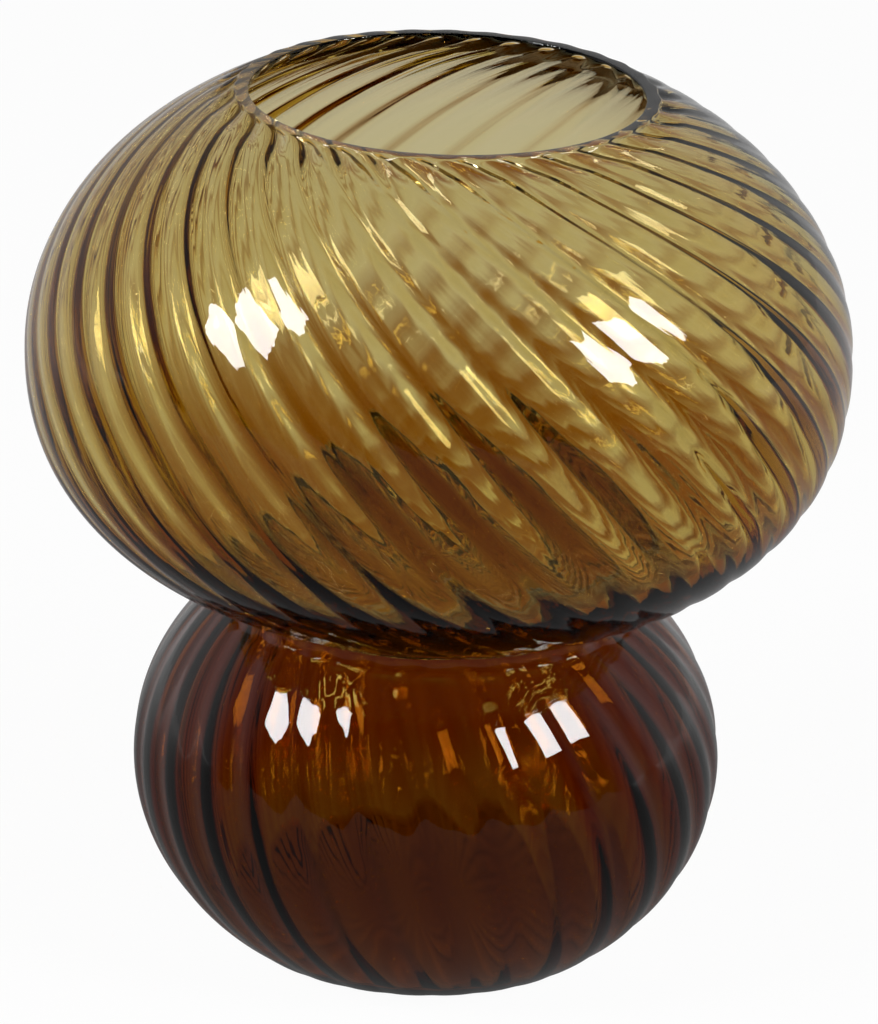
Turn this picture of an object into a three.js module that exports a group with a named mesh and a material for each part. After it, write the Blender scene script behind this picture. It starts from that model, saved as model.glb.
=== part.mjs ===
// A glass vase of two blown globes: a wide amber globe with an open mouth stands on the
// lip of a smaller brown globe, and a film of clear adhesive bonds the two.
// Both globes carry optic ribs that wind round the axis at a steady angle.
// Millimetres, +Z up, the origin at the middle of the foot.

import * as THREE from "three";

// Upper globe, measured over the rib crests
const UPPER_RADIUS = 90.2;
const UPPER_CROWN = 67; // from the widest ring up to where the curve would close
const UPPER_BELLY = 59.5; // from the widest ring down to where the curve would close
const UPPER_SQUARENESS = 2.3; // of the belly's curve; 2 is an ellipse
const UPPER_SHOULDER_WALL = 2.5;
const UPPER_SIDE_WALL = 4.5;
const UPPER_BELLY_WALL = 16.5; // between the two curves where they would close
const UPPER_HOLLOW_SQUARENESS = 3.6; // a boxy hollow leaves the base heavy and its edge thin
const UPPER_FLOOR = 11;
const UPPER_RIBS = 32;
const UPPER_RIB_START = 5.7; // degrees round the axis where a crest leaves the foot
const UPPER_RIB_ANGLE = 44; // degrees off the upright
const UPPER_RIB_DEPTH = 0.4;

// Mouth of the upper globe
const MOUTH_RADIUS = 46;
const MOUTH_WALL = 3.3;
const MOUTH_RISE = 3.2; // from the shoulder to the top of the lip
const MOUTH_FILLET = 5.5; // from the lip out to the shoulder

// Lower globe, measured over the rib crests
const LOWER_RADIUS = 65.5;
const LOWER_CROWN = 53.8; // from the widest ring up to where the curve would close
const LOWER_BELLY = 53.8; // from the widest ring down to where the curve would close
const LOWER_SQUARENESS = 2; // of the belly's curve; 2 is an ellipse
const LOWER_SHOULDER_WALL = 3;
const LOWER_SIDE_WALL = 3.5;
const LOWER_BELLY_WALL = 4.2; // between the two curves where they would close
const LOWER_HOLLOW_SQUARENESS = 2.1;
const LOWER_FLOOR = 4.8;
const LOWER_RIBS = 28;
const LOWER_RIB_START = 10.6; // degrees round the axis where a crest leaves the foot
const LOWER_RIB_ANGLE = 17.5; // degrees off the upright
const LOWER_RIB_DEPTH = 0.5;
const FOOT_RADIUS = 43;

// Neck, where the lower globe's lip carries the upper globe
const NECK_RADIUS = 46;
const NECK_WALL = 3.3;
const NECK_RISE = 4.4; // from the shoulder to the top of the lip
const NECK_FILLET = 1.5; // from the lip out to the shoulder

// Lips of both globes
const LIP_SCALLOP = 0.5; // how far the ribs still notch the top of a lip
const POCKET_DEPTH = 1.2; // how far the valleys sink where a lip leaves the shoulder
const LIP_ROUND = 0.35; // softened edges

// Adhesive between the globes
const BOND_FILM = 0.6;
const BOND_BEAD = 1.3; // how far it was pressed out past the lip
const BOND_WAVE = 0.6; // how far that bead draws back between its lobes
const BOND_LOBES = 11;

// Fineness of the curves
const STEPS_PER_RIB = 4;
const OUTER_RINGS = 12;
const INNER_RINGS = 7;
const FILLET_RINGS = 3;

// A ring of points round the axis. The valleys between ribs sink by depth, against the
// outward direction that the angle gives in the plane through the axis.
function ring(radius, height, depth = 0, outward = 0) {
  return { radius, height, depth, outward };
}

// The outline of one half of a globe: how far it reaches from the axis and from the widest
// ring, and how square its curve is
function half(radius, height, squareness = 2) {
  return { radius, height, squareness };
}

// Distance of an outline from the widest ring at a radius
function distanceAt({ radius, height, squareness }, at) {
  return height * (1 - (at / radius) ** squareness) ** (1 / squareness);
}

// How much an outline's distance from the widest ring falls per step away from the axis
function slopeAt(outline, at) {
  const { radius, height, squareness } = outline;
  return (height / radius) ** squareness * (at / distanceAt(outline, at)) ** (squareness - 1);
}

// Angle on an outline at a distance from the widest ring
function angleAt({ height, squareness }, distance) {
  return Math.asin((distance / height) ** (squareness / 2));
}

// Rings on a globe from an angle below the widest ring to an angle above it
function globeRings(crown, belly, middle, below, above, steps, depth) {
  return Array.from({ length: steps + 1 }, (_, step) => {
    const angle = THREE.MathUtils.lerp(-below, above, step / steps);
    const { radius, height, squareness } = angle < 0 ? belly : crown;
    const power = 2 / squareness;
    const reach = radius * Math.cos(angle) ** power;
    const rise = Math.sign(angle) * height * Math.abs(Math.sin(angle)) ** power;
    return ring(reach, middle + rise, depth, angle);
  });
}

// Rings on a hollow curve from one ring to another, round a corner at a radius and a height
function filletRings(from, [radius, height], to, depth) {
  const curve = new THREE.QuadraticBezierCurve(
    new THREE.Vector2(from.radius, from.height),
    new THREE.Vector2(radius, height),
    new THREE.Vector2(to.radius, to.height),
  );
  const points = curve.getPoints(FILLET_RINGS).slice(1, -1);
  return points.map((point) => ring(point.x, point.y, depth, Math.PI / 4));
}

// How far each ring is turned, so that a rib keeps its angle to the upright all the way
function turnsOf(rings, ribStart, ribAngle) {
  const lean = Math.tan(THREE.MathUtils.degToRad(ribAngle));
  const turns = [THREE.MathUtils.degToRad(ribStart)];
  rings.slice(1).forEach((upper, row) => {
    const lower = rings[row];
    const rise = upper.height - lower.height;
    const length = Math.hypot(upper.radius - lower.radius, rise);
    const onWall = lower.radius > 0 && upper.radius > 0;
    const middle = (lower.radius + upper.radius) / 2;
    const turn = onWall ? (Math.sign(rise) * lean * length) / middle : 0;
    turns.push(turns[row] - turn);
  });
  return turns;
}

// Splits each four-sided cell along its shorter diagonal where the rings turn backwards
function splitAlongShortDiagonals(geometry, turns) {
  const index = geometry.getIndex();
  const cellsPerColumn = turns.length - 1;
  for (let cell = 0; cell * 6 < index.count; cell++) {
    const row = cell % cellsPerColumn;
    if (turns[row + 1] < turns[row]) {
      const [a, b, d, c] = [0, 1, 2, 3].map((corner) => index.getX(cell * 6 + corner));
      [a, b, c, a, c, d].forEach((vertex, place) => index.setX(cell * 6 + place, vertex));
    }
  }
}

// A body turned about the axis from its rings, with rounded ribs and narrow valleys
function ribbedBody(rings, ribs, ribStart, ribAngle) {
  const columns = ribs * STEPS_PER_RIB;
  const profile = rings.map(({ radius, height }) => new THREE.Vector2(radius, height));
  const geometry = new THREE.LatheGeometry(profile, columns);
  const turns = turnsOf(rings, ribStart, ribAngle);
  const position = geometry.getAttribute("position");
  for (let column = 0; column <= columns; column++) {
    const around = ((column % columns) / columns) * 2 * Math.PI;
    const valley = 1 - Math.abs(Math.cos((ribs * around) / 2));
    rings.forEach(({ radius, height, depth, outward }, row) => {
      const sunk = depth * valley;
      const reach = radius - sunk * Math.cos(outward);
      const angle = around + turns[row];
      position.setXYZ(
        column * rings.length + row,
        reach * Math.cos(angle),
        reach * Math.sin(angle),
        height - sunk * Math.sin(outward),
      );
    });
  }
  splitAlongShortDiagonals(geometry, turns);
  geometry.deleteAttribute("uv");
  geometry.computeVertexNormals();
  return geometry;
}

// A globe with a flat foot and a lip round its open top, standing on z = 0
function globe(size) {
  const { crown, belly, walls, floor, foot, lip, lipWall, lipRise, fillet } = size;
  const innerRadius = crown.radius - walls.side;
  const innerCrown = half(innerRadius, crown.height - walls.shoulder);
  const innerBelly = half(innerRadius, belly.height - walls.belly, size.hollowSquareness);
  const middle = distanceAt(belly, foot);
  const hollowDepth = Math.min(middle - floor, innerBelly.height);
  const shoulder = lip + fillet;
  const shoulderRise = distanceAt(crown, shoulder);
  const innerRise = distanceAt(innerCrown, shoulder);
  const top = middle + shoulderRise + lipRise;
  const bore = lip - lipWall;

  const outerWall = globeRings(
    crown,
    belly,
    middle,
    angleAt(belly, middle),
    angleAt(crown, shoulderRise),
    OUTER_RINGS,
    size.ribDepth,
  );
  outerWall[0].depth = 0;
  const lipTop = [
    ring(lip, top - LIP_ROUND, LIP_SCALLOP),
    ring(lip - LIP_ROUND, top, LIP_SCALLOP),
    ring(bore + LIP_ROUND, top),
    ring(bore, top - LIP_ROUND),
  ];
  const innerWall = globeRings(
    innerCrown,
    innerBelly,
    middle,
    angleAt(innerBelly, hollowDepth),
    angleAt(innerCrown, innerRise),
    INNER_RINGS,
    0,
  ).reverse();
  // The corners carry the shoulder's slope on, so that the curves leave it with no crease
  const outerRise = shoulderRise + fillet * slopeAt(crown, shoulder);
  const boreRise = innerRise + (shoulder - bore) * slopeAt(innerCrown, shoulder);
  const highest = top - LIP_ROUND;
  const outerCorner = [lip, Math.min(middle + outerRise, highest)];
  const innerCorner = [bore, Math.min(middle + boreRise, highest)];
  const rings = [
    ring(0, 0),
    ...outerWall,
    ...filletRings(outerWall.at(-1), outerCorner, lipTop[0], POCKET_DEPTH),
    ...lipTop,
    ...filletRings(lipTop.at(-1), innerCorner, innerWall[0], 0),
    ...innerWall,
    ring(0, middle - hollowDepth),
  ];
  return { geometry: ribbedBody(rings, size.ribs, size.ribStart, size.ribAngle), top };
}

// A film as wide as the lip, with a wavy bead round its outer edge, standing on z = 0
function bondRing() {
  const inner = NECK_RADIUS - NECK_WALL;
  const nose = NECK_RADIUS + BOND_BEAD;
  const round = BOND_FILM / 2;
  const rings = [
    ring(inner, 0),
    ring(NECK_RADIUS, 0),
    ring(nose - round, 0, BOND_WAVE),
    ring(nose, round, BOND_WAVE),
    ring(nose - round, BOND_FILM, BOND_WAVE),
    ring(NECK_RADIUS, BOND_FILM),
    ring(inner, BOND_FILM),
    ring(inner, 0),
  ];
  return ribbedBody(rings, BOND_LOBES, 0, 0);
}

function piece(name, geometry, height, color, opacity) {
  const material = new THREE.MeshStandardMaterial({
    color,
    roughness: 0.05,
    metalness: 0,
    transparent: true,
    opacity,
  });
  const mesh = new THREE.Mesh(geometry, material);
  mesh.name = name;
  mesh.position.z = height;
  return mesh;
}

const lower = globe({
  crown: half(LOWER_RADIUS, LOWER_CROWN),
  belly: half(LOWER_RADIUS, LOWER_BELLY, LOWER_SQUARENESS),
  walls: { shoulder: LOWER_SHOULDER_WALL, side: LOWER_SIDE_WALL, belly: LOWER_BELLY_WALL },
  hollowSquareness: LOWER_HOLLOW_SQUARENESS,
  floor: LOWER_FLOOR,
  foot: FOOT_RADIUS,
  lip: NECK_RADIUS,
  lipWall: NECK_WALL,
  lipRise: NECK_RISE,
  fillet: NECK_FILLET,
  ribs: LOWER_RIBS,
  ribStart: LOWER_RIB_START,
  ribAngle: LOWER_RIB_ANGLE,
  ribDepth: LOWER_RIB_DEPTH,
});

const upper = globe({
  crown: half(UPPER_RADIUS, UPPER_CROWN),
  belly: half(UPPER_RADIUS, UPPER_BELLY, UPPER_SQUARENESS),
  walls: { shoulder: UPPER_SHOULDER_WALL, side: UPPER_SIDE_WALL, belly: UPPER_BELLY_WALL },
  hollowSquareness: UPPER_HOLLOW_SQUARENESS,
  floor: UPPER_FLOOR,
  foot: NECK_RADIUS,
  lip: MOUTH_RADIUS,
  lipWall: MOUTH_WALL,
  lipRise: MOUTH_RISE,
  fillet: MOUTH_FILLET,
  ribs: UPPER_RIBS,
  ribStart: UPPER_RIB_START,
  ribAngle: UPPER_RIB_ANGLE,
  ribDepth: UPPER_RIB_DEPTH,
});

const vase = new THREE.Group();
vase.add(
  piece("lower_globe", lower.geometry, 0, 0x5a2408, 0.8),
  piece("bond_ring", bondRing(), lower.top, 0xe8dcc0, 0.5),
  piece("upper_globe", upper.geometry, lower.top + BOND_FILM, 0x9c7a30, 0.6),
);

export default vase;
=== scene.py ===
import math

import bmesh
import bpy
from mathutils import Matrix, Vector


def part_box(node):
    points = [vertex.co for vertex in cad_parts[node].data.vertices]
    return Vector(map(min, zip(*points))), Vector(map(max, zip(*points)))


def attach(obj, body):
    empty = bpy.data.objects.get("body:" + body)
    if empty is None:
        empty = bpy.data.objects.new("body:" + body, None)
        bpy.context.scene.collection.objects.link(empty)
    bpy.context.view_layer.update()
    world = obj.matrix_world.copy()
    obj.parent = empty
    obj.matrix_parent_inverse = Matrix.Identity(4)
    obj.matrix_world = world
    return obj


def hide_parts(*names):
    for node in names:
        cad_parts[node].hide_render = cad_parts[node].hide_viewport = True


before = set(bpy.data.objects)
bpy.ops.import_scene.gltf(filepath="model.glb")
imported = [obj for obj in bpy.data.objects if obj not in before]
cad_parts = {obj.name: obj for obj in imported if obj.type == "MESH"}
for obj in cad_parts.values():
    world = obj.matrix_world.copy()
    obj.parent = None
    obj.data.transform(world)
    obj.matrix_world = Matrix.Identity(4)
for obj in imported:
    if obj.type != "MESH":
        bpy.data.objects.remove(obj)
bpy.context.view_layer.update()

MM = 0.001
TURN = 2 * math.pi

# Globes in millimetres, measured over the crests of their ribs. Crown and belly are heights above and
# below the widest ring, and a squareness of 2 is an ellipse. The walls are the gaps between the outer
# and the inner curve at the crown's top, the side and the belly's bottom, and the glass that is left
# under the hollow. A relief has the depth and sharpness of the rib valleys at the widest ring, what
# the sharpness gains up to the lip, and the shares of the depth that are gone at the lip and the foot.

# Upper globe
UPPER_RADIUS = 90.2
UPPER_CROWN = 67.0
UPPER_BELLY = 59.5
UPPER_SQUARENESS = 2.3
UPPER_WALLS = {"shoulder": 1.7, "side": 6.8, "belly": 13.0, "floor": 7.6, "squareness": 2.9}
UPPER_RIBS = {"count": 32, "start": math.radians(5.7), "angle": math.radians(44)}
UPPER_OUTSIDE = {
    "depth": 0.35,
    "sharpness": 2.4,
    "crown_keener": 0.0,
    "crown_fade": 0.6,
    "belly_fade": 0.1,
}
UPPER_INSIDE = {
    "depth": 1.4,
    "sharpness": 1.1,
    "crown_keener": 4.0,
    "crown_fade": 0.7,
    "belly_fade": 0.9,
}
MOUTH = {"radius": 46.0, "wall": 3.3, "rise": 3.2, "fillet": 5.5, "pocket": 1.8}

# Lower globe, whose neck carries the upper one
LOWER_RADIUS = 65.5
LOWER_CROWN = 53.8
LOWER_BELLY = 53.8
LOWER_SQUARENESS = 2.0
LOWER_WALLS = {"shoulder": 2.3, "side": 3.5, "belly": 3.8, "floor": 4.2, "squareness": 2.1}
LOWER_RIBS = {"count": 28, "start": math.radians(10.6), "angle": math.radians(17.5)}
LOWER_OUTSIDE = {
    "depth": 0.6,
    "sharpness": 2.0,
    "crown_keener": 0.0,
    "crown_fade": 0.6,
    "belly_fade": 0.8,
}
LOWER_INSIDE = {
    "depth": 1.5,
    "sharpness": 1.3,
    "crown_keener": 0.0,
    "crown_fade": 0.6,
    "belly_fade": 0.6,
}
NECK = {"radius": 46.0, "wall": 3.3, "rise": 4.4, "fillet": 1.5, "pocket": 0.8}
FOOT_RADIUS = 43.0

# Both globes: the waves and rounding of a lip, the pockets that the ribs end in and how they tilt, and
# how far a flat bottom stays inside its edge
LIP_SCALLOP = 0.5
LIP_ROUND = 0.35
POCKET_SHARPNESS = 1.0
POCKET_TILT = math.radians(45)
FLAT_MARGIN = 1.0

# Fineness of the meshes, and how near two vertices are to be one
STEPS_PER_RIB = 14
OUTER_ROWS = 80
INNER_ROWS = 56
FILLET_ROWS = 10
ROUND_ROWS = 4
WELD = 0.0001

# Glass: its tints, and how densely they fill each metre of it
AMBER_TINT = "ECDB53"
AMBER_DENSITY = 140
BROWN_TINT = "E2C227"
BROWN_DENSITY = 810
GLASS_IOR = 1.52
RIM_ROUGHNESS = 0.1

# Striae that blowing draws out along the ribs, in millimetres. Real ones are finer, and these are as
# wide as they need to be to show.
STRIA_WIDTH = 2.6
STRIA_LENGTH = 60.0
STRIA_HEIGHT = 0.05
STRIA_DETAIL = 1.0

# Adhesive, and the waves on its skin in millimetres
ADHESIVE_TINT = "F3F1E7"
ADHESIVE_DENSITY = 60
ADHESIVE_IOR = 1.49
ADHESIVE_ROUGHNESS = 0.05
ADHESIVE_WAVE = 2.0
ADHESIVE_WAVE_HEIGHT = 0.35
ADHESIVE_WAVE_DETAIL = 2.0

# Camera of the photograph
CAMERA_AIM = Vector((1.2, 0.0, 97.5)) * MM
CAMERA_DISTANCE = 1256.4 * MM
CAMERA_ELEVATION = math.radians(21.78)
CAMERA_ROLL = math.radians(1.94)
LENS_MM = 200.2
SENSOR_MM = 36.0

# Lamps, in metres and watts, each with its azimuth and elevation in degrees
SOFTBOX_AIM = Vector((0, 0, 0.1))
SOFTBOX_DISTANCE = 1.5
SOFTBOX_SIDE = 0.5
SOFTBOX_POWER = 14.0
SOFTBOXES = {"softbox_left": (-63, 38), "softbox_right": (61, 36)}

# How often light may go on through glass and be mirrored
LIGHT_BOUNCES = 32
MIRROR_BOUNCES = 8

# Table, in metres. The eye sees it almost white, and the rest of its colour keeps the vase's shadow.
# Through glass it glows: painted amber light that the vase throws, and painted shade under the foot.
TABLE_REACH = 20.0
TABLE_GAP = 0.0002
TABLE_PALE = "E7E7E7"
TABLE_WHITE_SHARE = 0.96
TABLE_THROUGH = 0.6
PAINTED_FOOT_SHADE = "AAAAA6"
PAINTED_VASE_LIGHT = "AA6E10"

# Room: pale, with a warm wall behind the glass, and faint light on everything else
ROOM_PALE = "E7E7E7"
WARM_WALL = "DAB361"
ROOM_LIGHT = 0.05
ROOM_WHITE_SHARE = 1.0

# Smooth changes: shares of painted shade and painted amber light by the distance from the foot's middle,
# strengths of the table's painted light by the place on it, in metres, and of the room's light by
# direction
SMOOTH = {"interpolation_type": "SMOOTHSTEP"}
OUT_OF_FOOT_SHADE = {"From Min": 0.04, "From Max": 0.11, "To Min": 0.0, "To Max": 1.0}
OUT_OF_VASE_LIGHT = {"From Min": 0.12, "From Max": 0.5, "To Min": 0.0, "To Max": 1.0}
MIRRORED_TABLE_BY_DEPTH = {"From Min": -0.15, "From Max": 0.5, "To Min": 0.12, "To Max": 0.52}
WALL_BY_HEIGHT = {"From Min": 0.1, "From Max": 0.6, "To Min": 0.8, "To Max": 0.2}
MIRRORED_ROOM_BY_DEPTH = {"From Min": -0.4, "From Max": 0.4, "To Min": 0.0, "To Max": 1.0}
MIRRORED_ROOM_BY_HEIGHT = {"From Min": 0.35, "From Max": 0.85, "To Min": 0.52, "To Max": 0.12}


def colour(text):
    """An sRGB hex value as linear red, green, blue and alpha."""
    def linear(part):
        share = int(part, 16) / 255
        return share / 12.92 if share <= 0.04045 else ((share + 0.055) / 1.055) ** 2.4

    return (*(linear(text[i : i + 2]) for i in (0, 2, 4)), 1.0)


WHITE = colour("FFFFFF")


def add_node(tree, kind, settings=None, sockets=None, links=None):
    """A node with its settings, its plain socket values and the outputs that feed its sockets."""
    node = tree.nodes.new(kind)
    for name, value in (settings or {}).items():
        setattr(node, name, value)
    for name, value in (sockets or {}).items():
        node.inputs[name].default_value = value
    for name, output in (links or {}).items():
        tree.links.new(output, node.inputs[name])
    return node


def new_material(name):
    """An empty material, and its node tree."""
    material = bpy.data.materials.new(name)
    material.use_nodes = True
    material.node_tree.nodes.clear()
    return material, material.node_tree


# Rings of the turned bodies


def ring(radius, height, depth=0.0, outward=0.0, sharpness=1.0, drawn=0.0):
    """A level of a turned body: its rib valleys, how far it faces up, and whether it has striae."""
    return {
        "radius": radius,
        "height": height,
        "depth": depth,
        "outward": outward,
        "sharpness": sharpness,
        "drawn": drawn,
        "turn": 0.0,
        "ground": 0.0,
    }


def half(radius, height, squareness=2.0):
    """One half of a globe's outline: an ellipse, or a squarer curve."""
    return {"radius": radius, "height": height, "squareness": squareness}


def distance_at(outline, radius):
    """How far from the widest ring an outline has that radius."""
    power = outline["squareness"]
    return outline["height"] * (1 - (radius / outline["radius"]) ** power) ** (1 / power)


def slope_at(outline, radius):
    """How much an outline's distance from the widest ring falls per step away from the axis."""
    power = outline["squareness"]
    flatness = (outline["height"] / outline["radius"]) ** power
    return flatness * (radius / distance_at(outline, radius)) ** (power - 1)


def angle_at(outline, distance):
    """The outline's parameter at that distance from the widest ring."""
    return math.asin((distance / outline["height"]) ** (outline["squareness"] / 2))


def globe_rings(crown, belly, middle, below, above, rows, relief):
    """Rings on a globe, from an angle below its widest ring to one above it; its ribs fade both ways."""
    rings = []
    for row in range(rows + 1):
        angle = -below + (above + below) * row / rows
        outline = belly if angle < 0 else crown
        power = 2 / outline["squareness"]
        reach = outline["radius"] * math.cos(angle) ** power
        rise = math.copysign(outline["height"] * abs(math.sin(angle)) ** power, angle)
        if angle < 0:
            faded = relief["belly_fade"] * -angle / below
            keen = relief["sharpness"]
        else:
            faded = relief["crown_fade"] * angle / above
            keen = relief["sharpness"] + relief["crown_keener"] * angle / above
        sink = relief["depth"] * (1 - faded)
        rings.append(ring(reach, middle + rise, sink, angle, keen, drawn=1.0))
    return rings


def fillet_rings(start, corner, end, depth):
    """Rings on a hollow curve between two rings; the rib pockets reach the given depth half way."""
    rings = []
    for row in range(1, FILLET_ROWS):
        t = row / FILLET_ROWS
        a, b, c = (1 - t) ** 2, 2 * t * (1 - t), t * t
        radius = a * start["radius"] + b * corner[0] + c * end["radius"]
        height = a * start["height"] + b * corner[1] + c * end["height"]
        sink = a * start["depth"] + b * depth + c * end["depth"]
        keen = a * start["sharpness"] + b * POCKET_SHARPNESS + c * end["sharpness"]
        rings.append(ring(radius, height, sink, POCKET_TILT, keen, drawn=1.0))
    return rings


def round_rings(radius, height, start, end, depth):
    """Rings on a lip's rounded edge about a middle, between two angles."""
    rings = []
    for row in range(ROUND_ROWS + 1):
        angle = start + (end - start) * row / ROUND_ROWS
        rings.append(
            ring(
                radius + LIP_ROUND * math.cos(angle),
                height + LIP_ROUND * math.sin(angle),
                depth,
                sharpness=POCKET_SHARPNESS,
            )
        )
    return rings


def wind(outside, inside, ribs):
    """Turns the outside rings so that a rib keeps its angle, and the inside rings along with them."""
    outside[0]["turn"] = ribs["start"]
    for lower, upper in zip(outside, outside[1:]):
        length = math.hypot(upper["radius"] - lower["radius"], upper["height"] - lower["height"])
        middle = (lower["radius"] + upper["radius"]) / 2
        upper["turn"] = lower["turn"] - math.tan(ribs["angle"]) * length / middle
    for row in inside:
        level = (i for i, outer in enumerate(outside) if outer["height"] >= row["height"])
        place = next(level, len(outside) - 1)
        above = outside[place]
        below = outside[max(place - 1, 0)]
        span = above["height"] - below["height"]
        share = min(max((row["height"] - below["height"]) / span, 0), 1) if span > 0 else 0
        row["turn"] = below["turn"] + share * (above["turn"] - below["turn"])


def globe(crown, belly, walls, foot, lip, ribs, outside_relief, inside_relief):
    """The rings of a globe with a flat foot and a lip round its open top, standing on 0."""
    middle = distance_at(belly, foot)
    shoulder = lip["radius"] + lip["fillet"]
    shoulder_rise = distance_at(crown, shoulder)
    top = middle + shoulder_rise + lip["rise"]
    outer_corner = middle + shoulder_rise + lip["fillet"] * slope_at(crown, shoulder)
    outer = globe_rings(
        crown,
        belly,
        middle,
        angle_at(belly, middle),
        angle_at(crown, shoulder_rise),
        OUTER_ROWS,
        outside_relief,
    )

    inner_radius = crown["radius"] - walls["side"]
    inner_crown = half(inner_radius, crown["height"] - walls["shoulder"])
    inner_belly = half(inner_radius, belly["height"] - walls["belly"], walls["squareness"])
    inner_rise = distance_at(inner_crown, shoulder)
    hollow_depth = middle - walls["floor"]
    bore = lip["radius"] - lip["wall"]
    inner_corner = middle + inner_rise + (shoulder - bore) * slope_at(inner_crown, shoulder)
    inner = globe_rings(
        inner_crown,
        inner_belly,
        middle,
        angle_at(inner_belly, hollow_depth),
        angle_at(inner_crown, inner_rise),
        INNER_ROWS,
        inside_relief,
    )
    inner.reverse()

    edge = top - LIP_ROUND
    lip_outside = round_rings(lip["radius"] - LIP_ROUND, edge, 0, math.pi / 2, LIP_SCALLOP)
    lip_inside = round_rings(bore + LIP_ROUND, edge, math.pi / 2, math.pi, 0)
    lip_outside[-1]["ground"] = 1.0
    lip_inside[0]["ground"] = 1.0

    outer_fillet = fillet_rings(
        outer[-1], (lip["radius"], outer_corner), lip_outside[0], lip["pocket"]
    )
    inner_fillet = fillet_rings(lip_inside[-1], (bore, inner_corner), inner[0], lip["pocket"])
    outside = [*outer, *outer_fillet, *lip_outside]
    inside = [*lip_inside, *inner_fillet, *inner]
    wind(outside, inside, ribs)

    flat_foot = ring(foot - FLAT_MARGIN, 0)
    flat_floor = ring(
        inner[-1]["radius"] - FLAT_MARGIN - inside_relief["depth"], walls["floor"]
    )
    return [ring(0, 0), flat_foot, *outside, *inside, flat_floor, ring(0, walls["floor"])]


def rib_valley(phase, sharpness):
    """How far the surface sinks across one rib: broad crests and, where sharp, narrow valleys."""
    return (0.5 - 0.5 * math.cos(TURN * phase)) ** sharpness


def rolled(rings, ribs):
    """A grid of side 1 rolled up about the axis: its columns run round, its rows follow the rings."""
    columns = ribs * STEPS_PER_RIB
    last = len(rings) - 1
    widest = max(row["radius"] for row in rings)
    lengths = [0.0]
    for row, next_row in zip(rings, rings[1:]):
        step = math.hypot(next_row["radius"] - row["radius"], next_row["height"] - row["height"])
        lengths.append(lengths[-1] + step)
    bm = bmesh.new()
    bmesh.ops.create_grid(bm, x_segments=columns, y_segments=last, size=0.5)
    spun = bm.verts.layers.float_vector.new("spun")
    drawn = bm.verts.layers.float.new("drawn")
    ground = bm.verts.layers.float.new("ground")
    for vert in bm.verts:
        around = vert.co.x + 0.5
        place = round((vert.co.y + 0.5) * last)
        row = rings[place]
        vert[drawn] = row["drawn"]
        vert[ground] = row["ground"]
        vert[spun] = (
            widest * math.cos(around * TURN),
            widest * math.sin(around * TURN),
            lengths[place],
        )
        sunk = row["depth"] * rib_valley(around * ribs, row["sharpness"])
        reach = max(row["radius"] - sunk * math.cos(row["outward"]), 0)
        angle = around * TURN + row["turn"]
        height = row["height"] - sunk * math.sin(row["outward"])
        vert.co = (reach * math.cos(angle), reach * math.sin(angle), height)
    bmesh.ops.remove_doubles(bm, verts=bm.verts, dist=WELD)
    return bm


def finished(name, bm, material, lift):
    """The bmesh, made in millimetres and then lifted, as an object at the origin in metres."""
    bmesh.ops.transform(
        bm, matrix=Matrix.Scale(MM, 4) @ Matrix.Translation((0, 0, lift)), verts=bm.verts
    )
    bmesh.ops.recalc_face_normals(bm, faces=bm.faces)
    for face in bm.faces:
        face.smooth = True
    mesh = bpy.data.meshes.new(name)
    bm.to_mesh(mesh)
    bm.free()
    mesh.materials.append(material)
    piece = bpy.data.objects.new(name, mesh)
    bpy.context.scene.collection.objects.link(piece)
    return piece


def blown_globe(name, node, rings, ribs, material):
    """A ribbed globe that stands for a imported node, at that node's height."""
    low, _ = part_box(node)
    piece = finished(name, rolled(rings, ribs["count"]), material, low[2] / MM)
    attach(piece, "root")
    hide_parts(node)


# Materials


def clear_body(tree, tint, density, sockets, links):
    """The ending of a clear material: a polished surface, and a body that takes up light on its way."""
    surface = add_node(
        tree,
        "ShaderNodeBsdfPrincipled",
        sockets={"Base Color": WHITE, "Transmission Weight": 1.0, **sockets},
        links=links,
    )
    body = add_node(
        tree, "ShaderNodeVolumeAbsorption", sockets={"Color": colour(tint), "Density": density}
    )
    add_node(
        tree,
        "ShaderNodeOutputMaterial",
        links={"Surface": surface.outputs["BSDF"], "Volume": body.outputs["Volume"]},
    )


def glass(name, tint, density):
    """Soda-lime glass, tinted through and blown in a ribbed mould.

    It is clear and mirrors the lamps sharply. Its colour is pale in a thin wall and deep in a thick
    one, striae along the ribs make what shows through it waver, and the ground rim is a little matt.
    """
    material, tree = new_material(name)
    spun = add_node(tree, "ShaderNodeAttribute", {"attribute_name": "spun"})
    along = add_node(
        tree,
        "ShaderNodeMapping",
        sockets={"Scale": (1 / STRIA_WIDTH, 1 / STRIA_WIDTH, 1 / STRIA_LENGTH)},
        links={"Vector": spun.outputs["Vector"]},
    )
    noise = add_node(
        tree,
        "ShaderNodeTexNoise",
        sockets={"Scale": 1.0, "Detail": STRIA_DETAIL},
        links={"Vector": along.outputs["Vector"]},
    )
    drawn = add_node(tree, "ShaderNodeAttribute", {"attribute_name": "drawn"})
    striae = add_node(
        tree,
        "ShaderNodeMath",
        {"operation": "MULTIPLY"},
        links={0: noise.outputs["Fac"], 1: drawn.outputs["Fac"]},
    )
    bump = add_node(
        tree,
        "ShaderNodeBump",
        sockets={"Strength": 1.0, "Distance": STRIA_HEIGHT * MM},
        links={"Height": striae.outputs["Value"]},
    )
    ground = add_node(tree, "ShaderNodeAttribute", {"attribute_name": "ground"})
    roughness = add_node(
        tree,
        "ShaderNodeMapRange",
        SMOOTH,
        {"To Min": 0.0, "To Max": RIM_ROUGHNESS},
        {"Value": ground.outputs["Fac"]},
    )
    clear_body(
        tree,
        tint,
        density,
        {"IOR": GLASS_IOR},
        {"Normal": bump.outputs["Normal"], "Roughness": roughness.outputs["Result"]},
    )
    return material


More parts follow.
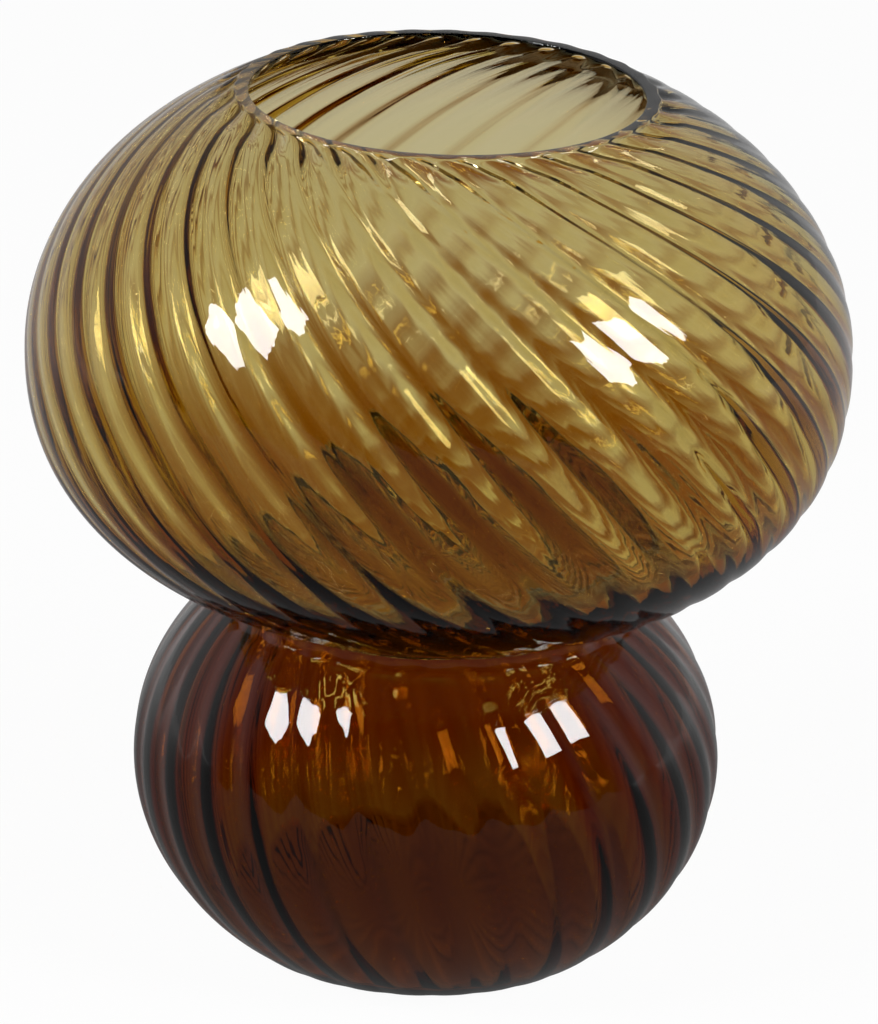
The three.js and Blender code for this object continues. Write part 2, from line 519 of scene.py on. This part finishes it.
def adhesive(name):
    """Clear acrylic adhesive, pressed out and cured: wet to the eye, with a skin that breaks glints up."""
    material, tree = new_material(name)
    place = add_node(tree, "ShaderNodeTexCoord")
    skin = add_node(
        tree,
        "ShaderNodeTexNoise",
        sockets={"Scale": 1 / (ADHESIVE_WAVE * MM), "Detail": ADHESIVE_WAVE_DETAIL},
        links={"Vector": place.outputs["Object"]},
    )
    bump = add_node(
        tree,
        "ShaderNodeBump",
        sockets={"Strength": 1.0, "Distance": ADHESIVE_WAVE_HEIGHT * MM},
        links={"Height": skin.outputs["Fac"]},
    )
    clear_body(
        tree,
        ADHESIVE_TINT,
        ADHESIVE_DENSITY,
        {"IOR": ADHESIVE_IOR, "Roughness": ADHESIVE_ROUGHNESS},
        {"Normal": bump.outputs["Normal"]},
    )
    return material


# Pieces

blown_globe(
    "amber_globe",
    "upper_globe",
    globe(
        half(UPPER_RADIUS, UPPER_CROWN),
        half(UPPER_RADIUS, UPPER_BELLY, UPPER_SQUARENESS),
        UPPER_WALLS,
        NECK["radius"],
        MOUTH,
        UPPER_RIBS,
        UPPER_OUTSIDE,
        UPPER_INSIDE,
    ),
    UPPER_RIBS,
    glass("amber_soda_lime_glass", AMBER_TINT, AMBER_DENSITY),
)
blown_globe(
    "brown_globe",
    "lower_globe",
    globe(
        half(LOWER_RADIUS, LOWER_CROWN),
        half(LOWER_RADIUS, LOWER_BELLY, LOWER_SQUARENESS),
        LOWER_WALLS,
        FOOT_RADIUS,
        NECK,
        LOWER_RIBS,
        LOWER_OUTSIDE,
        LOWER_INSIDE,
    ),
    LOWER_RIBS,
    glass("brown_soda_lime_glass", BROWN_TINT, BROWN_DENSITY),
)
bond_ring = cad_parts["bond_ring"].data
bond_ring.materials.clear()
bond_ring.materials.append(adhesive("cured_acrylic_adhesive"))

# Studio

scene = bpy.context.scene
scene.view_settings.view_transform = "Standard"
scene.cycles.max_bounces = LIGHT_BOUNCES
scene.cycles.transmission_bounces = LIGHT_BOUNCES
scene.cycles.glossy_bounces = MIRROR_BOUNCES


def split_by_ray(tree, lit, white, white_share, through, mirrored):
    """A lit shader, with others for what the eye sees, what shows through glass and what glass mirrors."""
    path = add_node(tree, "ShaderNodeLightPath")
    seen = add_node(
        tree,
        "ShaderNodeMath",
        {"operation": "MULTIPLY"},
        {1: white_share},
        {0: path.outputs["Is Camera Ray"]},
    )
    only_mirrored = add_node(
        tree,
        "ShaderNodeMath",
        {"operation": "SUBTRACT", "use_clamp": True},
        links={0: path.outputs["Is Glossy Ray"], 1: path.outputs["Is Transmission Ray"]},
    )
    shares = (
        (seen.outputs["Value"], white),
        (path.outputs["Is Transmission Ray"], through),
        (only_mirrored.outputs["Value"], mirrored),
    )
    mixed = lit
    for share, shader in shares:
        mixed = add_node(
            tree,
            "ShaderNodeMixShader",
            links={0: share, 1: mixed.outputs[0], 2: shader.outputs[0]},
        )
    return mixed.outputs["Shader"]


def table_top():
    """Pale matt laminate: white to the eye with the vase's shadow; glass shows and mirrors it in painted
    light.
    """
    material, tree = new_material("pale_matt_laminate")
    place = add_node(tree, "ShaderNodeTexCoord")
    lit = add_node(tree, "ShaderNodeBsdfDiffuse", sockets={"Color": colour(TABLE_PALE)})
    white = add_node(tree, "ShaderNodeEmission", sockets={"Color": WHITE, "Strength": 1.0})
    reach = add_node(
        tree, "ShaderNodeVectorMath", {"operation": "LENGTH"}, links={0: place.outputs["Object"]}
    )
    # Painted shade under the foot, then painted amber light from the vase, fading to white further out
    out_of_shade = add_node(
        tree, "ShaderNodeMapRange", SMOOTH, OUT_OF_FOOT_SHADE, {"Value": reach.outputs["Value"]}
    )
    near = add_node(
        tree,
        "ShaderNodeMix",
        {"data_type": "RGBA"},
        {"A": colour(PAINTED_FOOT_SHADE), "B": colour(PAINTED_VASE_LIGHT)},
        {"Factor": out_of_shade.outputs["Result"]},
    )
    out_of_light = add_node(
        tree, "ShaderNodeMapRange", SMOOTH, OUT_OF_VASE_LIGHT, {"Value": reach.outputs["Value"]}
    )
    tint = add_node(
        tree,
        "ShaderNodeMix",
        {"data_type": "RGBA"},
        {"B": WHITE},
        {"Factor": out_of_light.outputs["Result"], "A": near.outputs["Result"]},
    )
    # What glass shows of the table glows with this painted light and shade, whatever the lamps do
    through = add_node(
        tree,
        "ShaderNodeEmission",
        sockets={"Strength": TABLE_THROUGH},
        links={"Color": tint.outputs["Result"]},
    )
    # What glass mirrors of the table glows too: painted light, dimmer at the front and brighter behind
    part = add_node(tree, "ShaderNodeSeparateXYZ", links={"Vector": place.outputs["Object"]})
    far = add_node(
        tree, "ShaderNodeMapRange", SMOOTH, MIRRORED_TABLE_BY_DEPTH, {"Value": part.outputs["Y"]}
    )
    mirrored = add_node(
        tree,
        "ShaderNodeEmission",
        sockets={"Color": WHITE},
        links={"Strength": far.outputs["Result"]},
    )
    seen = split_by_ray(tree, lit, white, TABLE_WHITE_SHARE, through, mirrored)
    add_node(tree, "ShaderNodeOutputMaterial", links={"Surface": seen})
    return material


def table():
    """A flat top, a hair below the foot."""
    bm = bmesh.new()
    bmesh.ops.create_grid(
        bm,
        x_segments=1,
        y_segments=1,
        size=TABLE_REACH,
        matrix=Matrix.Translation((0, 0, -TABLE_GAP)),
    )
    mesh = bpy.data.meshes.new("table")
    bm.to_mesh(mesh)
    bm.free()
    mesh.materials.append(table_top())
    piece = bpy.data.objects.new("table", mesh)
    scene.collection.objects.link(piece)


def softbox(name, azimuth, elevation):
    """A square lamp that faces the vase; azimuth runs from the camera's side to the right."""
    data = bpy.data.lights.new(name, "AREA")
    data.shape = "SQUARE"
    data.size = SOFTBOX_SIDE
    data.energy = SOFTBOX_POWER
    lamp = bpy.data.objects.new(name, data)
    scene.collection.objects.link(lamp)
    a, e = math.radians(azimuth), math.radians(elevation)
    away = Vector((math.sin(a) * math.cos(e), -math.cos(a) * math.cos(e), math.sin(e)))
    lamp.location = SOFTBOX_AIM + away * SOFTBOX_DISTANCE
    lamp.rotation_mode = "QUATERNION"
    lamp.rotation_quaternion = away.to_track_quat("Z", "Y")


def room():
    """A room that is pale to the eye, warm through glass, and mirrored as a sweep behind the table."""
    world = bpy.data.worlds.new("room")
    scene.world = world
    world.use_nodes = True
    tree = world.node_tree
    tree.nodes.clear()
    pale = colour(ROOM_PALE)
    direction = add_node(tree, "ShaderNodeTexCoord")
    part = add_node(
        tree, "ShaderNodeSeparateXYZ", links={"Vector": direction.outputs["Generated"]}
    )
    lit = add_node(
        tree, "ShaderNodeBackground", sockets={"Color": pale, "Strength": ROOM_LIGHT}
    )
    white = add_node(tree, "ShaderNodeBackground", sockets={"Color": pale, "Strength": 1.0})
    wall = add_node(
        tree, "ShaderNodeMapRange", SMOOTH, WALL_BY_HEIGHT, {"Value": part.outputs["Z"]}
    )
    through = add_node(
        tree,
        "ShaderNodeBackground",
        sockets={"Color": colour(WARM_WALL)},
        links={"Strength": wall.outputs["Result"]},
    )
    behind = add_node(
        tree, "ShaderNodeMapRange", SMOOTH, MIRRORED_ROOM_BY_DEPTH, {"Value": part.outputs["Y"]}
    )
    low = add_node(
        tree, "ShaderNodeMapRange", SMOOTH, MIRRORED_ROOM_BY_HEIGHT, {"Value": part.outputs["Z"]}
    )
    sweep = add_node(
        tree,
        "ShaderNodeMath",
        {"operation": "MULTIPLY"},
        links={0: behind.outputs["Result"], 1: low.outputs["Result"]},
    )
    mirrored = add_node(
        tree,
        "ShaderNodeBackground",
        sockets={"Color": pale},
        links={"Strength": sweep.outputs["Value"]},
    )
    seen = split_by_ray(tree, lit, white, ROOM_WHITE_SHARE, through, mirrored)
    add_node(tree, "ShaderNodeOutputWorld", links={"Surface": seen})


def camera():
    """The photograph's camera: a long lens, a little above the vase and a little rolled."""
    data = bpy.data.cameras.new("camera")
    data.lens = LENS_MM
    data.sensor_width = SENSOR_MM
    eye = bpy.data.objects.new("camera", data)
    scene.collection.objects.link(eye)
    e = CAMERA_ELEVATION
    away = Vector((0, -math.cos(e), math.sin(e)))
    eye.location = CAMERA_AIM + away * CAMERA_DISTANCE
    level = away.to_track_quat("Z", "Y").to_matrix()
    eye.rotation_euler = (level @ Matrix.Rotation(CAMERA_ROLL, 3, "Z")).to_euler()
    scene.camera = eye


table()
for lamp_name, angles in SOFTBOXES.items():
    softbox(lamp_name, *angles)
room()
camera()
